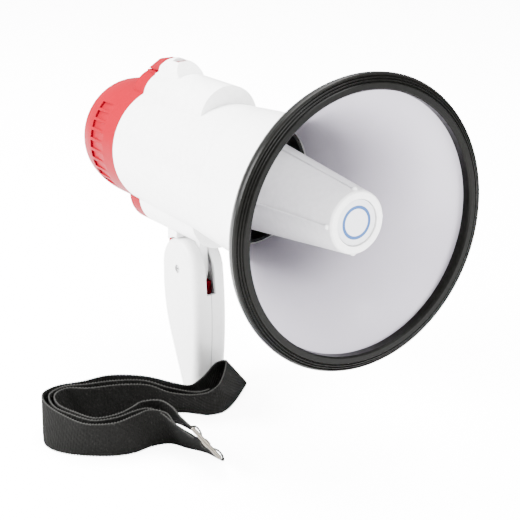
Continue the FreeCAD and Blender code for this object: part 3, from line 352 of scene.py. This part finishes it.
# Each station gives the band's lower edge and a point that its upper edge lies towards.
# This band is a closed loop: from the slider's upper bar to the left fold, along the back, round the
# loop by the grip, back outermost to the left fold, and along the front to the slider's lower bar.
LOOP_BAND = [
    ((76.0, -54.5, 13.0), (95.5, -66.5, 25.5)),
    ((64.0, -54.6, 11.6), (82.3, -65.2, 26.0)),
    ((53.5, -54.5, 8.5), (68.5, -62.5, 26.0)),
    ((48.5, -58.5, 3.5), (56.0, -63.5, 25.0)),
    ((48.5, -69.0, 0.9), (50.5, -72.5, 25.0)),
    ((53.5, -80.5, 0.8), (54.5, -81.0, 25.0)),
    ((55.0, -91.5, 0.8), (57.7, -92.0, 25.0)),
    ((50.5, -102.5, 0.8), (55.0, -104.5, 25.0)),
    ((39.0, -109.0, 0.8), (42.0, -110.5, 25.0)),
    ((26.0, -111.5, 0.8), (27.5, -113.5, 25.0)),
    ((13.5, -107.0, 0.8), (14.0, -109.0, 25.0)),
    ((9.5, -97.5, 0.8), (9.5, -99.0, 25.0)),
    ((14.5, -86.0, 0.8), (16.5, -88.0, 25.0)),
    ((18.5, -69.0, 0.8), (21.5, -71.5, 25.0)),
    ((22.5, -52.5, 0.8), (29.0, -57.0, 25.0)),
    ((25.5, -40.5, 0.6), (38.0, -48.0, 21.5)),
    ((30.2, -31.6, 0.6), (44.2, -39.6, 19.6)),
    ((36.6, -26.6, 0.8), (49.7, -34.7, 20.4)),
    ((44.2, -23.0, 2.0), (55.6, -30.2, 23.0)),
    ((48.3, -15.6, 3.6), (56.0, -24.0, 26.0)),
    ((42.2, -4.6, 4.0), (47.4, -15.2, 26.0)),
    ((30.0, 10.0, 4.4), (33.0, -3.8, 24.6)),
    ((21.0, 19.0, 4.6), (22.0, 3.4, 23.6)),
    ((16.0, 15.0, 3.0), (18.6, -0.4, 22.4)),
    ((16.2, 4.5, 1.4), (22.6, -6.5, 22.6)),
    ((19.6, -8.0, 0.7), (29.6, -14.8, 23.2)),
    ((23.0, -18.5, 0.6), (35.6, -23.6, 23.4)),
    ((26.0, -28.0, 0.6), (39.4, -32.8, 23.4)),
    ((21.5, -37.5, 0.6), (33.5, -39.4, 24.0)),
    ((11.5, -50.0, 0.6), (17.2, -51.8, 24.6)),
    ((5.0, -67.5, 0.6), (6.0, -69.0, 25.0)),
    ((4.2, -85.0, 0.6), (5.2, -86.0, 25.0)),
    ((2.6, -100.0, 0.6), (2.8, -101.0, 25.0)),
    ((6.0, -112.0, 0.6), (6.5, -112.0, 25.0)),
    ((15.1, -117.7, 0.6), (14.5, -117.0, 25.0)),
    ((25.4, -121.2, 0.6), (26.0, -119.0, 25.0)),
    ((36.5, -119.0, 0.6), (41.0, -117.5, 24.4)),
    ((48.0, -110.0, 0.6), (56.5, -111.5, 24.0)),
    ((58.2, -96.0, 0.6), (65.3, -97.9, 24.4)),
    ((61.6, -84.0, 0.6), (64.5, -85.0, 25.0)),
    ((60.0, -72.0, 0.6), (62.5, -74.0, 25.0)),
    ((62.5, -61.0, 0.6), (69.0, -66.8, 24.0)),
    ((73.3, -55.5, 0.6), (80.5, -67.2, 21.0)),
    ((84.6, -49.6, 0.6), (98.0, -62.6, 17.6)),
]

# The tail runs from the slider's middle bar between the loop's layers, and ends inside its loop.
TAIL_BAND = [
    ((77.5, -53.0, 6.5), (96.5, -65.5, 19.0)),
    ((68.5, -55.0, 1.6), (81.0, -67.0, 20.5)),
    ((59.5, -60.5, 0.8), (67.0, -68.5, 23.5)),
    ((56.5, -70.5, 0.8), (60.0, -73.5, 25.0)),
    ((57.6, -81.5, 0.8), (59.6, -82.5, 25.0)),
    ((57.8, -93.0, 0.8), (61.2, -94.5, 25.0)),
    ((51.0, -104.8, 0.8), (56.5, -107.0, 25.0)),
    ((39.5, -112.0, 0.8), (42.5, -113.8, 25.0)),
    ((27.0, -115.0, 0.8), (28.5, -116.8, 25.0)),
    ((11.5, -110.0, 0.8), (12.0, -111.5, 25.0)),
    ((6.3, -98.0, 0.8), (6.4, -99.2, 25.0)),
    ((9.0, -85.6, 0.8), (10.6, -86.8, 25.0)),
    ((12.5, -69.5, 0.8), (14.6, -71.5, 25.0)),
    ((17.5, -52.5, 0.8), (22.5, -56.0, 25.0)),
    ((23.0, -39.6, 0.6), (34.0, -45.8, 22.6)),
    ((28.2, -30.0, 0.6), (41.4, -37.4, 20.4)),
    ((35.2, -23.8, 0.8), (47.8, -31.8, 20.8)),
    ((42.6, -20.4, 2.2), (53.0, -28.0, 23.6)),
]

# The slider: the direction of its bars, and its other direction, as the frame lies on the floor.
BAR_DIRECTION = Vector((0.7674, -0.4752, 0.4305))
DEPTH_DIRECTION = Vector((-0.6248, -0.4037, 0.6683))
FRAME_NORMAL = Vector((-0.144, -0.782, -0.607))
SLIDER_MIDDLE_FAR = Vector((87.0, -51.7, 8.2))
# The band's way through the slider, across its bars: round bar C, under the middle, over to bar A.
WEAVE = [(-12.4, 0), (-10.4, 2), (-6, 1.5), (-2, -2.2), (2, -2.2), (6, 1.5), (10.4, 2), (12.4, 0)]


def in_slider(across, out):
    """A station in the slider, this far across its bars and out of its plane."""
    low = SLIDER_MIDDLE_FAR + DEPTH_DIRECTION * across - FRAME_NORMAL * out
    return low, low + BAR_DIRECTION * WIDTH


def smooth(points, closed, steps=24):
    """Points on a Catmull-Rom curve through the given ones."""
    count = len(points)
    line = []
    for i in range(count if closed else count - 1):
        if closed:
            a, b, c, d = (points[(i + k) % count] for k in (-1, 0, 1, 2))
        else:
            a, b, c, d = (points[min(max(i + k, 0), count - 1)] for k in (-1, 0, 1, 2))
        for j in range(steps):
            t = j / steps
            line.append(0.5 * (2 * b + (c - a) * t + (2 * a - 5 * b + 4 * c - d) * t * t
                               + (3 * b - a - 3 * c + d) * t * t * t))
    if not closed:
        line.append(points[-1])
    return line


def resampled(lows, highs, closed):
    """Both edges again, at even steps along the middle line; and its length."""
    if closed:
        lows = lows + [lows[0]]
        highs = highs + [highs[0]]
    middles = [(a + b) / 2 for a, b in zip(lows, highs)]
    travelled = [0.0]
    for a, b in zip(middles, middles[1:]):
        travelled.append(travelled[-1] + (b - a).length)
    total = travelled[-1]
    count = ROWS_PER_RIB * round(total / STEP / ROWS_PER_RIB)
    rows = []
    i = 0
    for k in range(count if closed else count + 1):
        wanted = total * k / count
        while travelled[i + 1] < wanted and i < len(travelled) - 2:
            i += 1
        t = (wanted - travelled[i]) / (travelled[i + 1] - travelled[i])
        rows.append((lows[i].lerp(lows[i + 1], t), highs[i].lerp(highs[i + 1], t)))
    return rows, total


def outline(raised):
    """The band's section at one row: places across it and out of it, all the way round."""
    first_edge, first_half = PROFILE[0]
    near = [(first_edge - RIB_SPREAD * raised, first_half)]
    near += [(edge, half + RIB_BULGE * raised) for edge, half in PROFILE[1:]]
    far = [(WIDTH - edge, half) for edge, half in reversed(near[:-1])]
    front = near + far
    return front + [(edge, -half) for edge, half in reversed(front)]


def band(name, stations, closed):
    """A ribbed webbing band through the stations, as one closed mesh."""
    lows = smooth([Vector(low) for low, high in stations], closed)
    highs = smooth([Vector(high) for low, high in stations], closed)
    rows, total = resampled(lows, highs, closed)
    count = len(rows)
    vertices = []
    marks = []
    for k, (low, high) in enumerate(rows):
        before = rows[k - 1] if closed or k else rows[0]
        after = rows[(k + 1) % count] if closed or k < count - 1 else rows[-1]
        along = (after[0] + after[1] - before[0] - before[1]).normalized()
        up = (high - low).normalized()
        out = along.cross(up).normalized()
        raised = math.cos(2 * math.pi * k / ROWS_PER_RIB)
        for edge, half in outline(raised):
            vertices.append((low + up * edge + out * half) * MM)
            marks.append((total * k / count * MM, edge * MM))
    size = len(outline(1.0))
    faces = []
    for k in range(count if closed else count - 1):
        here = k * size
        there = (k + 1) % count * size
        for j in range(size):
            n = (j + 1) % size
            faces.append((here + j, there + j, there + n, here + n))
    if not closed:
        faces.append(tuple(range(size)))
        faces.append(tuple(range((count - 1) * size, count * size))[::-1])
    mesh = bpy.data.meshes.new(name)
    mesh.from_pydata(vertices, [], faces)
    flat = mesh.uv_layers.new(name="length_and_width")
    for loop in mesh.loops:
        flat.data[loop.index].uv = marks[loop.vertex_index]
    for face in mesh.polygons:
        face.use_smooth = True
    piece = bpy.data.objects.new(name, mesh)
    bpy.context.collection.objects.link(piece)
    return piece, total * MM


def join(first, second):
    """Make the second piece part of the first."""
    bpy.ops.object.select_all(action="DESELECT")
    first.select_set(True)
    second.select_set(True)
    bpy.context.view_layer.objects.active = first
    bpy.ops.object.join()


def make_strap():
    through = [in_slider(across, out) for across, out in WEAVE]
    loop, loop_length = band("strap_band", LOOP_BAND + through, True)
    tail, tail_length = band("strap_tail", TAIL_BAND, False)
    join(loop, tail)
    loop.data.materials.append(webbing_material())
    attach(loop, "strap")
    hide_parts("strap_webbing")


make_camera()
make_studio()
dress_plastics()
dress_rubbers()
dress_metals()
dress_electrics()
make_strap()
